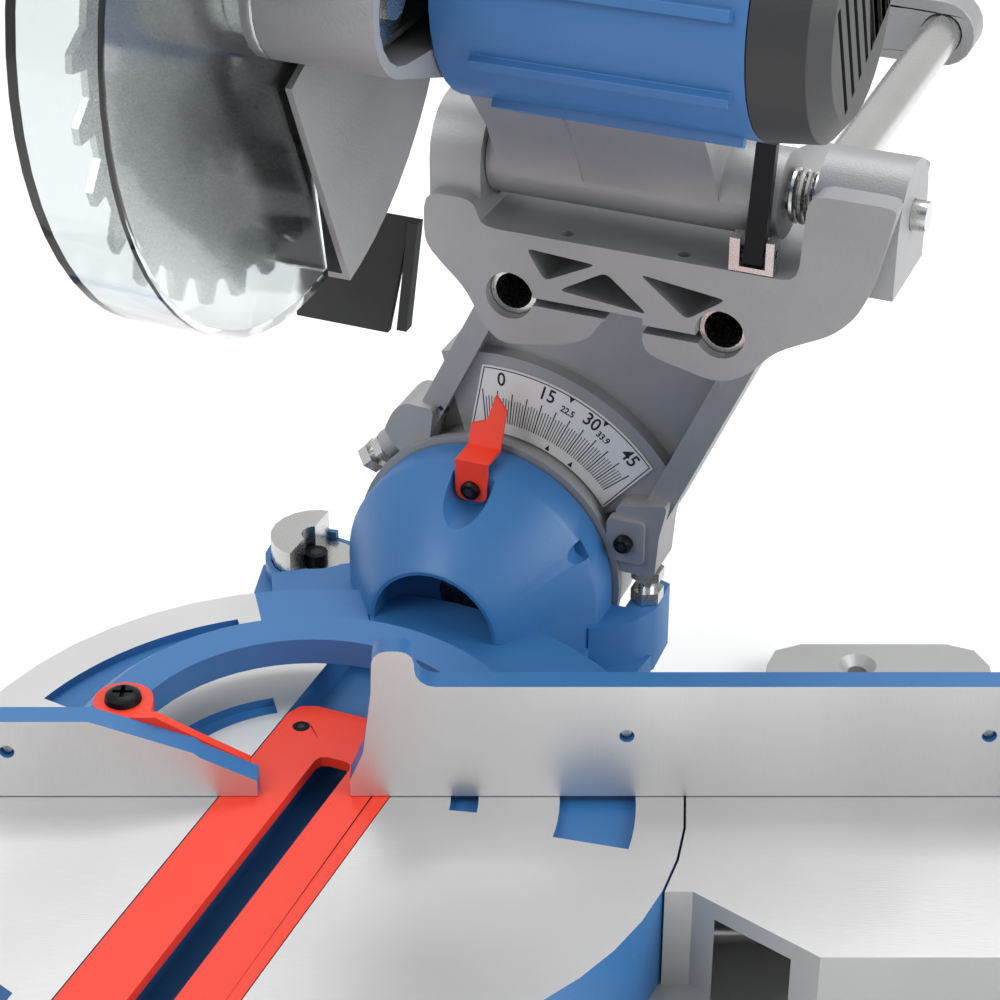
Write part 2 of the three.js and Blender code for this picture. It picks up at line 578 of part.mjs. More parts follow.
function headBracket() {
  const outline = [
    [-8, 200], [-8.3, 178], [-1, 170], [10, 160], [17, 146], [25, 138], [50, 142], [64, 147.5],
      [70, 160], [85, 157],
    [87, 146], [118, 139], [130, 144.5], [140, 157], [152, 163.5], [163, 169], [172, 178.5], [177, 191],
      [184, 222],
    [184, 226], [150, 226], [148, DECK], [16, DECK], [14, 200],
  ];
  let body = prism('y', eased(outline, 7), BRACKET[0], BRACKET[1]);
  for (const [lo, hi] of [[-8, 14], [150, 184]]) {
    body = body.add(rod('x', 22, lo, hi, HINGE_V, HINGE_Z, 20));
    body = body.add(box(lo, hi, HINGE_V - 22, BRACKET[1], 185, HINGE_Z));
  }
  body = body.subtract(rod('x', 19, 14 + 0.01, 149.99, HINGE_V, HINGE_Z, 20));
  for (const u of RAILS_U) {
    body = body.subtract(rod('y', RAIL_R + GAP, BRACKET[0] - 1, BRACKET[1] + 1, u, RAIL_Z, 20));
  }
  body = cut(body, box(36, 74, 130, 200, 158, 161.5), box(74, 110, 130, 200, 155, 158.5));
  body = body.subtract(box(70, 86, 130, 200, 136, 161.5));
  const pockets = [
    [[36, 183], [66, 181], [44, 170]], [[50, 167], [88, 163.5], [70, 178.5]],
      [[84, 180.5], [120, 176], [104, 164.5]],
  ];
  for (const triangle of pockets) {
    body = body.subtract(prism('y', eased(triangle, 3), BRACKET[0] - 1, BRACKET[0] + 26));
  }
  for (const u of [51, 100]) {
    body = body.subtract(rod('z', 2.6, 180, 200, u, 149, 12));
  }
  body = body.subtract(rod('x', 6.3, -20, 200, HINGE_V, HINGE_Z, 16));
  body = body.subtract(box(152, 182, 180, 200, 150, 176));
  for (const u of [52, 102]) {
    body = body.subtract(rod('z', 2.8, 130, 170, u, 167, 12));
  }
  return body;
}
add(turn, 'head_bracket', headBracket(), CAST);

add(turn, 'rail_end_tie', cut(
  prism('y', [...arc(RAILS_U[0], RAIL_Z, 17, 90, 270, 10), ...arc(RAILS_U[1], RAIL_Z, 17, -90, 90, 10)],
    RAIL_REAR - 14, RAIL_REAR + 5),
  ...RAILS_U.map((u) => rod('y', RAIL_R + GAP, RAIL_REAR - 20, RAIL_REAR + GAP, u, RAIL_Z, 20)),
), CAST);
add(turn, 'hinge_pin', rod('x', 6, -14, 190, HINGE_V, HINGE_Z, 16), STEEL);

const FORK = { u: 129, v: 146, z: 197 };
add(turn, 'depth_stop_fork', cut(
  box(FORK.u - 9, FORK.u + 9, 142.3, 150.5, DECK + GAP, 203),
  box(FORK.u - 4.8, FORK.u + 5.6, 141, 152, 191.5, 204),
  rod('x', 1.9, FORK.u - 12, FORK.u + 12, FORK.v, FORK.z, 12),
), STEEL);
add(turn, 'depth_stop_bar', join(
  prism('y', [[-4, -5], [4, -5], [7, 46], [-1, 46]], -2.3, 2.3).translate([FORK.u, FORK.v, FORK.z]),
  rod('x', 1.6, FORK.u - 8.5, FORK.u + 8.5, FORK.v, FORK.z, 10),
), BLACK);

const SPRING = [136.5, 147.5];  // torsion spring between the barrel and the right ear

// ---- head, drawn with the head down --------------------------------------
function headCasting() {
  const beltCase = prism('x', hull2(BLADE_V, BLADE_Z, 26, MOTOR_V, MOTOR_Z, 40, 16), 20.3, 58);
  const beltSpace = prism('x', hull2(BLADE_V, BLADE_Z, 22, MOTOR_V, MOTOR_Z, 22), 30, 59);
  const nose = rod('x', 26, 9.5, 21, BLADE_V, BLADE_Z, 24);
  const arm = prism('x', [
    [-24, 168], [-10, 188], [60, 206], [130, 230], [165, 229], [165, 195], [138, 193], [96, 180],
      [46, 140], [0, 112],
  ], 20.3, 56);
  const gusset = prism('x', [[96, 214], [130, 229], [168, 229], [168, 196], [138, 193], [110, 187]], 22,
    112);
  const barrel = rod('x', 18, 14.6, SPRING[0] - 1.6, HINGE_V, HINGE_Z, 24);
  const carry = cut(
    prism('x', [[40, 196], [50, 230], [66, 243], [112, 250], [132, 244], [142, 226]], 26, 50),
    prism('x', [[56, 196], [62, 227], [72, 233], [110, 239.5], [122, 236], [128, 220]], 20, 60),
  );
  let body = join(beltCase, nose, carry, arm, gusset, barrel);
  body = cut(body, beltSpace, rod('x', 8.3, 0, 40, BLADE_V, BLADE_Z, 16),
    rod('x', 6.2, 0, 160, HINGE_V, HINGE_Z, 16));
  body = cut(body, rod('y', 4.3, -60, BLADE_V - 7, 25.5, BLADE_Z, 12));
  body = cut(body, rod('x', 46.5, 59 - 0.7, 200, MOTOR_V, MOTOR_Z, 24));
  const forkSweep = box(118, 140, 120, 146, 180, 250);
  return body.subtract(forkSweep);
}
add(down, 'head_casting', headCasting(), CAST);

const GUARD_R = 117;
const HOOD_R = 124;
const HOOD_EDGE = 76;

function upperGuard() {
  const disc = rod('x', HOOD_R, -20, 20, BLADE_V, BLADE_Z, 64);
  const inside = rod('x', HOOD_R - 3, -17.5, 17.5, BLADE_V, BLADE_Z, 64);
  const below = box(-30, 30, -160, 120, -60, HOOD_EDGE);
  const frontCut = prism('x', [[-160, 60], [-160, 118], [-120, 118], [-104, 72], [-104, 60]], -30, 30);
  let body = cut(disc, inside, below, frontCut);
  body = cut(body, rod('x', 27, 10, 30, BLADE_V, BLADE_Z, 24),
    box(10, 30, BLADE_V - 27, BLADE_V + 27, 60, BLADE_Z));
  body = cut(body, rod('x', 27, -30, -10, BLADE_V, BLADE_Z, 24),
    box(-30, -10, BLADE_V - 27, BLADE_V + 27, 60, BLADE_Z));
  return body.subtract(chute(16.5, -30, 30));
}

const CHUTE_AT = [38, 190];
const CHUTE_LEAN = 20;         // degrees behind vertical
function chute(r, from, to) {
  return rod('z', r, from, to, 0, 0, 20).rotate([-CHUTE_LEAN, 0, 0]).translate([0, CHUTE_AT[0],
    CHUTE_AT[1]]);
}
add(down, 'upper_guard', upperGuard(), CAST);
add(down, 'dust_chute', cut(
  join(chute(20, 0, 96), chute(25, 26, 31)),
  chute(17, -1, 97),
  rod('x', HOOD_R + GAP, -40, 40, BLADE_V, BLADE_Z, 48),
), BLACK);

function lowerGuard() {
  const wall = (u0, u1) => sector('x', GUARD_R, 44, 184, 346, u0, u1, BLADE_V, BLADE_Z, 26);
  const rim = sector('x', GUARD_R, GUARD_R - 2.6, 184, 346, -16, 16, BLADE_V, BLADE_Z, 26);
  const web = sector('x', 60, 30, 184, 346, 13.4, 16, BLADE_V, BLADE_Z, 20);
  const hub = ring('x', 34, 26.4, 13.4, 16, BLADE_V, BLADE_Z, 28);
  return join(wall(-16, -13.4), wall(13.4, 16), rim, web, hub);
}
add(down, 'lower_guard', lowerGuard(), CLEAR);

function blade() {
  const teeth = 30;
  const outline = [];
  for (let i = 0; i < teeth; i += 1) {
    const at = (360 / teeth) * i;
    outline.push(...arc(0, 0, BLADE_R, at, at + 3, 1), ...arc(0, 0, BLADE_R - 8, at + 3.5, at + 8.5, 1));
  }
  const plate = prism('x', outline.map(([a, b]) => [a + BLADE_V, b + BLADE_Z]), -1.2, 1.2);
  return plate.subtract(rod('x', 8.3, -3, 3, BLADE_V, BLADE_Z, 16));
}
add(down, 'saw_blade', blade(), STEEL);
add(down, 'spindle', join(
  rod('x', 8, -6, 54, BLADE_V, BLADE_Z, 16), rod('x', 21, 1.5, 8.5, BLADE_V, BLADE_Z, 20),
    rod('x', 17, 34, 50, BLADE_V, BLADE_Z, 20),
).subtract(rod('x', 3.3, -10, 12, BLADE_V, BLADE_Z, 12)), STEEL);
add(down, 'outer_flange', ring('x', 21, 8.3, -8, -1.5, BLADE_V, BLADE_Z, 20), STEEL);
add(down, 'arbor_bolt', join(
  rod('x', 12, -11, -8.3, BLADE_V, BLADE_Z, 16), hexPrism('x', 13, -16, -10.9, BLADE_V, BLADE_Z),
  rod('x', 3, -10, 10, BLADE_V, BLADE_Z, 12),
), STEEL);
add(down, 'drive_belt', cut(
  prism('x', hull2(BLADE_V, BLADE_Z, 19.5, MOTOR_V, MOTOR_Z, 13.5, 14), 36, 48),
  prism('x', hull2(BLADE_V, BLADE_Z, 17.3, MOTOR_V, MOTOR_Z, 11.3, 14), 35, 49),
), RUBBER);

add(down, 'motor_rotor', join(
  rod('x', 5, 32, 178, MOTOR_V, MOTOR_Z, 12), rod('x', 11, 34, 50, MOTOR_V, MOTOR_Z, 16),
    rod('x', 26, 80, 150, MOTOR_V, MOTOR_Z, 20),
), STEEL);
function motorHousing() {
  let body = ring('x', 46, 38, 58.6, 165, MOTOR_V, MOTOR_Z, 36);
  body = body.add(ring('x', 46, 6, 58.6, 64, MOTOR_V, MOTOR_Z, 36));
  for (let i = 0; i < 10; i += 1) {
    const rib = box(72, 160, MOTOR_V - 2, MOTOR_V + 2, MOTOR_Z + 44, MOTOR_Z + 49);
    const turnRib = rib.translate([0, -MOTOR_V, -MOTOR_Z]).rotate([i * 36, 0, 0]).translate([0, MOTOR_V,
      MOTOR_Z]);
    body = body.add(turnRib);
  }
  return body;
}
add(down, 'motor_housing', motorHousing(), BLUE);
function motorCap() {
  let body = turned('x', [[165.3, 0], [165.3, 46], [184, 44], [190, 36], [190, 0]], MOTOR_V, MOTOR_Z, 36);
  body = body.subtract(rod('x', 38, 160, 184, MOTOR_V, MOTOR_Z, 20));
  for (let i = -3; i <= 3; i += 1) {
    body = body.subtract(box(180, 195, MOTOR_V - 22, MOTOR_V + 22, MOTOR_Z + i * 8 - 1.5,
      MOTOR_Z + i * 8 + 1.5));
  }
  return body;
}
add(down, 'motor_end_cap', motorCap(), BLACK);

// The handle is a loop in front of the head, level with the head down.
const HANDLE_U = 38;
function handle() {
  const outer = prism('x', [
    ...arc(-190, 206, 18, 90, 270, 8), ...arc(-92, 200, 16, 270, 300, 3), [-30, 190.5], [-14, 200],
      [-60, 232], ...arc(-100, 210, 26, 60, 100, 3),
  ], HANDLE_U - 16, HANDLE_U + 16);
  const fingers = prism('x', [...arc(-184, 208, 7, 90, 270, 6), ...arc(-98, 205, 7, -90, 90, 6)], 0, 70);
  const triggerSlot = box(HANDLE_U - 7, HANDLE_U + 7, -160, -116, 205, 221);
  const buttonHole = rod('x', 5.3, HANDLE_U + 4, HANDLE_U + 20, -100, 224, 12);
  return cut(outer, fingers, triggerSlot, buttonHole);
}
add(down, 'handle', handle(), BLUE);
add(down, 'trigger', prism('x', [[-158, 216], [-158, 209.5], [-140, 208], [-118.5, 209.5],
  [-118.5, 216]], HANDLE_U - 6.5, HANDLE_U + 6.5), BLACK);
add(down, 'lock_off_button', rod('x', 5, HANDLE_U + 9, HANDLE_U + 19, -100, 224, 12), RED);
add(down, 'spindle_lock_button', join(
  rod('y', 4, -60, BLADE_V - 14, 25.5, BLADE_Z, 12), rod('y', 5, -66, -58, 25.5, BLADE_Z, 12),
), BLACK);
// The flap and spring are drawn with the head up.
add(turn, 'rubber_flap', join(
  prism('y', [[-24, 181], [14, 181], [24, 229], [-24, 229]], 58.5, 61.5),
  prism('y', [[18.5, 184], [22.5, 184], [28, 229], [24, 229]], 56.5, 61.5),
  box(10, 27, 58.5, 61.5, 225, 229),
), RUBBER);

function torsionSpring() {
  const turns = 3.5;
  const points = [];
  for (let i = 0; i <= turns * 14; i += 1) {
    const t = (i / 14) * 2 * Math.PI;
    const u = SPRING[0] + ((SPRING[1] - SPRING[0]) * i) / (turns * 14);
    points.push(new THREE.Vector3(u, HINGE_V + 10 * Math.cos(t), HINGE_Z + 10 * Math.sin(t)));
  }
  const path = new THREE.CatmullRomCurve3(points);
  const wire = new THREE.Shape(arc(0, 0, 1.2, 0, 300, 5).map(([a, b]) => new THREE.Vector2(a, b)));
  return solid(new THREE.ExtrudeGeometry(wire, { steps: 60, extrudePath: path, bevelEnabled: false }));
}
add(turn, 'torsion_spring', torsionSpring(), STEEL);

export default saw;
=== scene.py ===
# %% [markdown]
# # A sliding mitre saw, finished in Blender
# The shape of the saw comes from its CAD model, which is loaded here as a fixed frame.
# Blender adds what CAD leaves out: rounded cast edges, the printed bevel scale, the recesses
# in the screws, and a surface for every material on the machine.
# Lengths are metres unless a name ends in _mm, and mm() turns millimetres into metres.

# %% Load the frame
import json
import math

import bmesh
import bpy
from mathutils import Matrix, Vector


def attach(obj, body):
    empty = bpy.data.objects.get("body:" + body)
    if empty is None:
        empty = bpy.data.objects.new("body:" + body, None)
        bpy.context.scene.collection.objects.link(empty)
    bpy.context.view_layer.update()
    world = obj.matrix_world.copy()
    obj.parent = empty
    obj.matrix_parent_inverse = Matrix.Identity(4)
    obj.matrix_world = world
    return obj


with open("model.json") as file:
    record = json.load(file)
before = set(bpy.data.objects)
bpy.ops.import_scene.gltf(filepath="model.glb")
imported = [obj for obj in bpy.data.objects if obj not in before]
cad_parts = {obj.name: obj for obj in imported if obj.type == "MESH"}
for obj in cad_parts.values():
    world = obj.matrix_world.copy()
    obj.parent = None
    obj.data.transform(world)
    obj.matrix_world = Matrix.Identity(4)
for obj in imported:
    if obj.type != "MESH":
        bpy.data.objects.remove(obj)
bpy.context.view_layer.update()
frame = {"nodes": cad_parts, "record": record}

NODES = frame["nodes"]


# %% [markdown]
# ## The saw's own directions
# The saw stands with its turntable swung to a mitre of 22.5 degrees. Along the blade it is
# easier to think in u (across the blade), v (front to back) and z above the table, so the
# matrix TURN takes those to the frame's x, y and z. TABLE_FRAME does the same for the fence,
# which doesn't swing.

# %% Table and turntable directions
MITRE = math.radians(22.5)
TABLE = 0.082


def mm(value):
    return value / 1000


TURN = Matrix.Translation((0, 0, TABLE)) @ Matrix.Rotation(-MITRE, 4, "Z")
TABLE_FRAME = Matrix.Translation((0, 0, TABLE))
print("rear of the turntable points to", [round(c, 3) for c in TURN.to_3x3() @ Vector((0, 1, 0))])


# %% [markdown]
# ## Camera
# The view is a close one over the fence to the bevel scale. A long lens keeps upright edges
# nearly parallel, and the camera only tips down and never rolls, so the fence stays level.

# %% Camera
LOOK_DOWN_DEG = 31.27

camera_data = bpy.data.cameras.new("camera")
camera_data.sensor_width = 36
camera_data.lens = 93.6
camera_data.clip_start = 0.01
camera = bpy.data.objects.new("camera", camera_data)
bpy.context.scene.collection.objects.link(camera)
camera.location = (0.0774, -0.8176, 0.7157)
camera.rotation_euler = (math.radians(90 - LOOK_DOWN_DEG), 0, 0)
bpy.context.scene.camera = camera
print("camera looks down by", LOOK_DOWN_DEG, "degrees")


# %% [markdown]
# ## Light
# A catalogue picture is lit by large soft boxes. Big area lights give the same wide, gentle
# highlights: one from the front left, one from the front right, and one from above and behind
# that draws a bright line along the top edges.

# %% Light panels
def light_panel(name, place, target, size, power):
    data = bpy.data.lights.new(name, "AREA")
    data.shape = "RECTANGLE"
    data.size, data.size_y = size
    data.energy = power
    lamp = bpy.data.objects.new(name, data)
    lamp.location = place
    lamp.rotation_euler = (Vector(target) - Vector(place)).to_track_quat("-Z", "Y").to_euler()
    bpy.context.scene.collection.objects.link(lamp)
    return lamp


light_panel("key_panel", (-1.1, -0.9, 1.7), (0.05, 0.05, 0.2), (1.0, 1.0), 17)
light_panel("fill_panel", (1.6, -0.5, 1.0), (0.05, 0.1, 0.2), (1.2, 1.2), 22)
light_panel("top_panel", (0.2, 0.9, 1.9), (0.1, 0.1, 0.2), (1.4, 0.8), 15)
bpy.context.scene.view_settings.view_transform = "Standard"
print("three light panels")


# %% [markdown]
# ## One function for nodes
# A material is a small graph. put() adds one node with its settings and its links, so each
# material below reads as a list of steps. Colours are written as sRGB hex, which people
# pick from charts, and linear() turns them into the linear values that light adds up in.

# %% Node and colour helpers
def linear(hex_colour):
    channels = [int(hex_colour[i:i + 2], 16) / 255 for i in (1, 3, 5)]
    return tuple(c / 12.92 if c <= 0.04045 else ((c + 0.055) / 1.055) ** 2.4 for c in channels) + (1.0,)


def put(tree, kind, settings=None, links=None):
    node = tree.nodes.new(kind)
    for key, value in (settings or {}).items():
        if isinstance(key, str) and hasattr(node, key):
            setattr(node, key, value)
        else:
            node.inputs[key].default_value = value
    for key, source in (links or {}).items():
        tree.links.new(source, node.inputs[key])
    return node


print("helpers ready, mid grey is", round(linear("#808080")[0], 3))


# %% [markdown]
# ## Steps that every material shares
# No real surface is one flat value. grain() is noise whose lumps have a size in millimetres
# on the piece itself, blend_colours() turns it into two close shades, and level() turns it
# into a small range of roughness.

# %% Material helpers
def start(name):
    material = bpy.data.materials.new(name)
    material.use_nodes = True
    material.node_tree.nodes.clear()
    return material, material.node_tree


def end(tree, shader):
    put(tree, "ShaderNodeOutputMaterial", links={"Surface": shader.outputs[0]})


def grain(tree, size_mm, detail=2.0, stretch=(1, 1, 1)):
    place = put(tree, "ShaderNodeTexCoord")
    scaled = put(tree, "ShaderNodeMapping", {"Scale": stretch}, {"Vector": place.outputs["Object"]})
    settings = {"Scale": 1000 / size_mm, "Detail": detail, "Roughness": 0.5}
    return put(tree, "ShaderNodeTexNoise", settings, {"Vector": scaled.outputs[0]})


def blend_colours(tree, factor, first, second):
    ramp = put(tree, "ShaderNodeValToRGB", links={"Fac": factor})
    ramp.color_ramp.elements[0].color = linear(first)
    ramp.color_ramp.elements[1].color = linear(second)
    return ramp


def level(tree, value, low, high):
    return put(tree, "ShaderNodeMapRange", {"To Min": low, "To Max": high}, {"Value": value})


def relief(tree, height, strength, depth_mm):
    return put(tree, "ShaderNodeBump", {"Strength": strength, "Distance": mm(depth_mm)}, {"Height": height})


print("material steps ready")


# %% [markdown]
# ## Painted and moulded finishes
# The base colour of these skins lies under a clear, slightly uneven surface.
# - Powder coat is baked from dust, so it has a fine orange peel and a soft satin shine.
# - Red enamel on the pointer is sprayed thin and flows out smoother.
# - ABS is moulded against an etched tool, which breaks the highlight into a dull sheen.
# - Rubber is moulded too, and scatters so much light that it hardly shines at all.
# - The scale plate is brushed silver under clear lacquer, so it stays bright from any side.
# - Printing ink is thin, flat and black. The same black, on the stars in the screw heads, is painted shade
#   for their recesses.

# %% Painted and moulded finishes
def coated(name, dark, light, grain_mm, bump_mm, rough, ior=1.5, metallic=0.0, coat=0.0):
    """A coloured skin: broad shade changes, a fine texture, and a matching bump."""
    material, tree = start(name)
    broad = grain(tree, 45, 3)
    fine = grain(tree, grain_mm, 3)
    colour = blend_colours(tree, broad.outputs[0], dark, light)
    gloss = level(tree, fine.outputs[0], rough - 0.06, rough + 0.06)
    bump = relief(tree, fine.outputs[0], 0.35, bump_mm)
    shader = put(tree, "ShaderNodeBsdfPrincipled",
                 {"Metallic": metallic, "IOR": ior, "Coat Weight": coat, "Coat Roughness": 0.2},
                 {"Base Color": colour.outputs[0], "Roughness": gloss.outputs[0], "Normal": bump.outputs[0]})
    end(tree, shader)
    return material


powder_blue = coated("powder_coat_blue", "#2B6299", "#336CA2", 0.9, 0.25, 0.42, coat=0.15)
enamel_red = coated("enamel_red", "#E2331A", "#EA3E22", 0.7, 0.10, 0.38, coat=0.2)
abs_black = coated("abs_textured_black", "#1B1C1E", "#232527", 0.8, 0.25, 0.5, ior=1.53)
abs_blue = coated("abs_textured_blue", "#2A6097", "#3168A0", 0.8, 0.25, 0.48, ior=1.53)
abs_red = coated("abs_red", "#DC2F17", "#E5391E", 0.8, 0.15, 0.42, ior=1.53)
rubber_black = coated("rubber_moulded", "#262828", "#2F3232", 0.9, 0.3, 0.78, ior=1.52)
ink_and_recess_shade = coated("printing_ink_and_painted_recess_shade", "#141414", "#1C1C1C", 0.5, 0.02, 0.5)
scale_lacquer = coated("lacquered_scale_plate", "#D6D6D5", "#E4E4E3", 0.8, 0.02, 0.34, metallic=0.2)
print("painted and moulded finishes ready")


# %% [markdown]
# ## Metal finishes
# - Blasted cast aluminium is dull and a little pitted, so it reads as grey more than as metal.
# - Machined aluminium is paler, and its tool marks stretch the highlight across them.
# - Zinc plating on the bolts, rails and blade is bright, with soft, slightly milky reflections.
# - Black oxide on the screws and the depth stop is a thin stain that leaves the metal's shine.

# %% Metal finishes
def metal(name, dark, light, grain_mm, bump_mm, rough, stretch=(1, 1, 1), metallic=1.0):
    """Bare metal: the grain is stretched along the tool marks where it was machined."""
    material, tree = start(name)
    broad = grain(tree, 30, 2)
    fine = grain(tree, grain_mm, 3, stretch)
    colour = blend_colours(tree, broad.outputs[0], dark, light)
    gloss = level(tree, fine.outputs[0], rough - 0.08, rough + 0.08)
    bump = relief(tree, fine.outputs[0], 0.4, bump_mm)
    shader = put(tree, "ShaderNodeBsdfPrincipled", {"Metallic": metallic},
                 {"Base Color": colour.outputs[0], "Roughness": gloss.outputs[0], "Normal": bump.outputs[0]})
    end(tree, shader)
    return material


ALONG_X = (0.05, 1, 1)
cast_aluminium = metal("sand_cast_aluminium", "#97989A", "#A5A6A8", 0.9, 0.35, 0.5, metallic=0.55)
machined_aluminium = metal("machined_aluminium", "#DADADA", "#E6E6E6", 0.6, 0.05, 0.34, stretch=ALONG_X)
zinc_steel = metal("zinc_plated_steel", "#C2C3C1", "#D4D5D3", 0.8, 0.04, 0.26)
oxide_steel = metal("black_oxide_steel", "#17181A", "#202224", 0.6, 0.03, 0.36, metallic=0.8)
print("metal finishes ready")


# %% [markdown]
# ## The clear guard
# The guard is moulded polycarbonate. It bends light a little more than acrylic does, and it
# carries a faint haze from saw dust, which softens what is seen through it. The haze here is
# broad, so it changes the gloss in patches as wiping does.

# %% Clear guard plastic
def clear_plastic():
    material, tree = start("polycarbonate_clear")
    haze = grain(tree, 14, 3)
    gloss = level(tree, haze.outputs[0], 0.02, 0.10)
    bump = relief(tree, haze.outputs[0], 0.1, 0.4)
    shader = put(tree, "ShaderNodeBsdfPrincipled",
                 {"Base Color": linear("#F2F6F7"), "IOR": 1.58, "Transmission Weight": 1.0},
                 {"Roughness": gloss.outputs[0], "Normal": bump.outputs[0]})
    end(tree, shader)
    return material


polycarbonate = clear_plastic()
print("guard plastic ready")


# %% [markdown]
# ## Dressing the CAD nodes
# Every node in the frame says which slot its material belongs in, so the finishes are handed
# out by slot. The bevel scale is machined sheet in the frame, and here it gets its lacquer.

# %% Finishes by slot
FINISH_OF_SLOT = {
    "cast_aluminium": cast_aluminium,
    "machined_aluminium": machined_aluminium,
    "blue_paint": powder_blue,
    "blue_plastic": abs_blue,
    "red_paint": enamel_red,
    "red_plastic": abs_red,
    "steel": zinc_steel,
    "black_steel": oxide_steel,
    "black_plastic": abs_black,
    "rubber": rubber_black,
    "clear_plastic": polycarbonate,
}
SLOT_OF_NODE = {part["node"]: part["material_slot"] for part in frame["record"]["subparts"]}


def dress(piece, material):
    piece.data.materials.clear()
    piece.data.materials.append(material)


for node_name, node in NODES.items():
    dress(node, FINISH_OF_SLOT[SLOT_OF_NODE[node_name]])
dress(NODES["bevel_scale"], scale_lacquer)
print("finishes on", len(NODES), "nodes")


# %% [markdown]
# ## Where a cutter has been
# The turntable, the fence and the base are painted or blasted first, and then a cutter takes
# the working faces down to bright metal. Cutting the model up for that would lose the sharp
# border, so a mask picks the machined faces instead, by their place and the way they face.
# The paint on the turntable's rear shoulder, behind the scale ring, is left as it was.

# %% Masks for machined faces
FACES_IT = 0.8                 # cosine within which a face counts as facing that way
JUST_UNDER = mm(0.5)
PAINTED_FROM = mm(86)
PAINTED_SPREAD = 1.45


def mathed(tree, operation, first, second=0.0):
    node = put(tree, "ShaderNodeMath", {"operation": operation})
    for slot_index, value in enumerate((first, second)):
        if hasattr(value, "is_linked"):
            tree.links.new(value, node.inputs[slot_index])
        else:
            node.inputs[slot_index].default_value = value
    return node.outputs[0]


def place_and_facing(tree, turn_by=0.0):
    coords = put(tree, "ShaderNodeTexCoord")
    turned = put(tree, "ShaderNodeMapping", {"Rotation": (0, 0, turn_by)},
                 {"Vector": coords.outputs["Object"]})
    place = put(tree, "ShaderNodeSeparateXYZ", links={0: turned.outputs[0]})
    facing = put(tree, "ShaderNodeSeparateXYZ", links={0: coords.outputs["Normal"]})
    return place.outputs, facing.outputs


def table_mask(tree, turn_by=0.0):
    place, facing = place_and_facing(tree, turn_by)
    high = mathed(tree, "GREATER_THAN", place[2], TABLE - JUST_UNDER)
    up = mathed(tree, "GREATER_THAN", facing[2], FACES_IT)
    return mathed(tree, "MULTIPLY", high, up)


def turntable_mask(tree):
    place, _ = place_and_facing(tree, MITRE)
    across = mathed(tree, "MULTIPLY", mathed(tree, "ABSOLUTE", place[0]), PAINTED_SPREAD)
    rear = mathed(tree, "GREATER_THAN", mathed(tree, "SUBTRACT", place[1], across), 0)
    outside = mathed(tree, "GREATER_THAN", place[1], PAINTED_FROM)
    bare = mathed(tree, "SUBTRACT", 1.0, mathed(tree, "MULTIPLY", rear, outside))
    return mathed(tree, "MULTIPLY", table_mask(tree, MITRE), bare)


def fence_mask(tree):
    place, facing = place_and_facing(tree)
    front = mathed(tree, "LESS_THAN", facing[1], -FACES_IT)
    return mathed(tree, "MULTIPLY", front, mathed(tree, "LESS_THAN", place[1], JUST_UNDER))


print("three masks ready")


# %% [markdown]
# ## Castings that are painted and then machined
# One material holds both surfaces, and every input changes with the mask: colour, gloss,
# metallic, and the bump, which goes from orange peel to fine lines left by the cutter. The
# lines are drawn half a millimetre wide, coarser than real ones, so that they show. On the cut faces the
# grey drifts in broad patches, which is a painted sheen.

# %% Painted castings with machined faces
SKIN_BLUE = {"dark": "#2B6299", "light": "#336CA2", "rough": 0.42, "metallic": 0.0}
SKIN_GREY = {"dark": "#A3A4A4", "light": "#B2B3B3", "rough": 0.52, "metallic": 0.6}


def machined_casting(name, skin_look, mask_of, marks_stretch):
    material, tree = start(name)
    mask = mask_of(tree)
    broad = grain(tree, 45, 3)
    fine = grain(tree, 0.9, 3)
    marks = grain(tree, 0.5, 2, marks_stretch)
    # The cut faces' grey drifts between two shades in broad patches: a painted sheen, the wide reflections
    # on machined metal laid into the colour.
    painted_sheen = grain(tree, 60, 1, (1, 1, 0.2))
    skin = blend_colours(tree, broad.outputs[0], skin_look["dark"], skin_look["light"])
    bright = blend_colours(tree, painted_sheen.outputs[0], "#C4C4C4", "#DADADA")
    colour = put(tree, "ShaderNodeMix", {"data_type": "RGBA"},
                 {0: mask, 6: skin.outputs[0], 7: bright.outputs[0]})
    skin_gloss = level(tree, fine.outputs[0], skin_look["rough"] - 0.06, skin_look["rough"] + 0.06)
    cut_gloss = level(tree, marks.outputs[0], 0.34, 0.5)
    gloss = put(tree, "ShaderNodeMix", links={0: mask, 2: skin_gloss.outputs[0], 3: cut_gloss.outputs[0]})
    height = put(tree, "ShaderNodeMix", links={0: mask, 2: fine.outputs[0], 3: marks.outputs[0]})
    metallic = level(tree, mask, skin_look["metallic"], 0.85)
    bump = relief(tree, height.outputs[0], 0.3, 0.2)
    end(tree, put(tree, "ShaderNodeBsdfPrincipled", {}, {
        "Base Color": colour.outputs[2], "Roughness": gloss.outputs[0],
        "Metallic": metallic.outputs[0], "Normal": bump.outputs[0]}))
    return material


ACROSS = (0.06, 1, 1)
UPRIGHT = (1, 1, 0.06)
dress(NODES["turntable_casting"], machined_casting("painted_turntable", SKIN_BLUE, turntable_mask, ACROSS))
dress(NODES["fence"], machined_casting("painted_fence", SKIN_BLUE, fence_mask, UPRIGHT))
dress(NODES["base_casting"], machined_casting("blasted_base", SKIN_GREY, table_mask, ACROSS))
print("machined faces masked on three castings")


# %% [markdown]
# ## Smooth curves
# The CAD solids are made of flat facets. A real turned cone has none, so faces that meet at
# a gentle angle are shaded as one curve, while true corners stay sharp. Modifiers do this
# without touching the meshes: first they weld the loose facets together, then they smooth.

